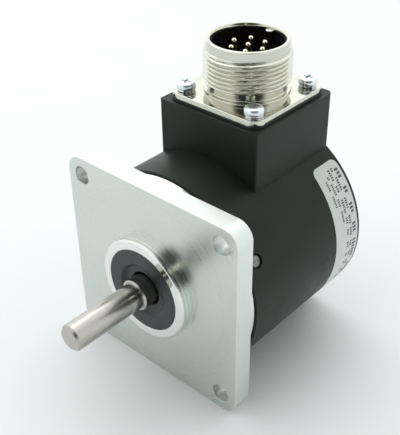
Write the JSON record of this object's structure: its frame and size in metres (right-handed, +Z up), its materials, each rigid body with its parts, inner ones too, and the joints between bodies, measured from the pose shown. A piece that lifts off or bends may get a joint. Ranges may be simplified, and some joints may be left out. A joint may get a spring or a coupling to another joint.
{
  "type": "rotary encoder",
  "caption": "Square-flange rotary encoder with a solid shaft in front, a black round rear cover and a threaded pin receptacle on its top block.",
  "frame": {"origin": "centre of the square flange's mounting face, on the shaft axis", "axes": "-Y points out along the shaft, +Z up through the receptacle, +X towards the side with the label"},
  "size_m": [0.0637, 0.0905, 0.0937],
  "materials": {
    "flange_aluminium": "machined satin",
    "seal_rubber": "matte",
    "seal_steel": "plain",
    "spring_steel": "plain",
    "ring_steel": "phosphated",
    "bearing_steel": "ground",
    "shield_steel": "pressed",
    "cage_brass": "satin",
    "o_ring_rubber": "matte",
    "cover_black": "satin black",
    "cover_screw_steel": "dull",
    "label_film": "printed film",
    "gasket_rubber": "matte",
    "nickel_plate": "bright nickel",
    "insert_black": "matte",
    "contact_plating": "silver plated",
    "zinc_plate": "bright zinc",
    "board_laminate": "solder mask",
    "standoff_brass": "turned",
    "inner_screw_steel": "zinc plated",
    "holder_black": "moulded",
    "emitter_lens": "clear",
    "etched_steel": "etched",
    "package_black": "moulded",
    "header_nylon": "moulded",
    "wire_insulation": "extruded",
    "shaft_steel": "ground stainless",
    "spacer_steel": "turned",
    "hub_aluminium": "turned",
    "set_screw_steel": "black oxide"
  },
  "bodies": {
    "housing": {"front_flange": "flange_aluminium", "shaft_seal": "seal_rubber", "seal_case": "seal_steel", "garter_spring": "spring_steel", "front_outer_race": "bearing_steel", "rear_outer_race": "bearing_steel", "bearing_shields": "shield_steel", "wave_spring": "spring_steel", "barrel_snap_ring": "ring_steel", "cover_o_ring": "o_ring_rubber", "rear_cover": "cover_black", "cover_screws": "cover_screw_steel", "rating_label": "label_film", "connector_gasket": "gasket_rubber", "connector_shell": "nickel_plate", "connector_insert": "insert_black", "insert_snap_ring": "ring_steel", "contact_pins": "contact_plating", "connector_screws": "zinc_plate", "lock_washers": "zinc_plate", "sensor_board": "board_laminate", "board_standoffs": "standoff_brass", "board_screws": "inner_screw_steel", "emitter_holder": "holder_black", "light_emitter": "emitter_lens", "mask_plate": "etched_steel", "sensor_chip": "package_black", "board_components": "package_black", "board_header": "header_nylon", "harness_plug": "header_nylon", "harness_wires": "wire_insulation"},
    "rotor": {"shaft": "shaft_steel", "front_inner_race": "bearing_steel", "rear_inner_race": "bearing_steel", "bearing_spacer": "spacer_steel", "shaft_snap_ring": "ring_steel", "disc_hub": "hub_aluminium", "code_disc": "etched_steel", "disc_clamp_ring": "hub_aluminium", "clamp_screws": "inner_screw_steel", "hub_set_screw": "set_screw_steel"},
    "front_ball_set": {"front_balls": "bearing_steel", "front_cage": "cage_brass"},
    "rear_ball_set": {"rear_balls": "bearing_steel", "rear_cage": "cage_brass"}
  },
  "joints": [
    {"name": "shaft_spin", "type": "hinge", "parent": "housing", "child": "rotor", "pos_m": [0, 0, 0], "axis": [0, -1, 0], "continuous": true},
    {"name": "front_cage_spin", "type": "hinge", "parent": "housing", "child": "front_ball_set", "pos_m": [0, 0, 0], "axis": [0, -1, 0], "continuous": true},
    {"name": "rear_cage_spin", "type": "hinge", "parent": "housing", "child": "rear_ball_set", "pos_m": [0, 0, 0], "axis": [0, -1, 0], "continuous": true}
  ],
  "couplings": [
    {"joint": "front_cage_spin", "follows": "shaft_spin", "ratio": 0.375},
    {"joint": "rear_cage_spin", "follows": "shaft_spin", "ratio": 0.375}
  ]
}
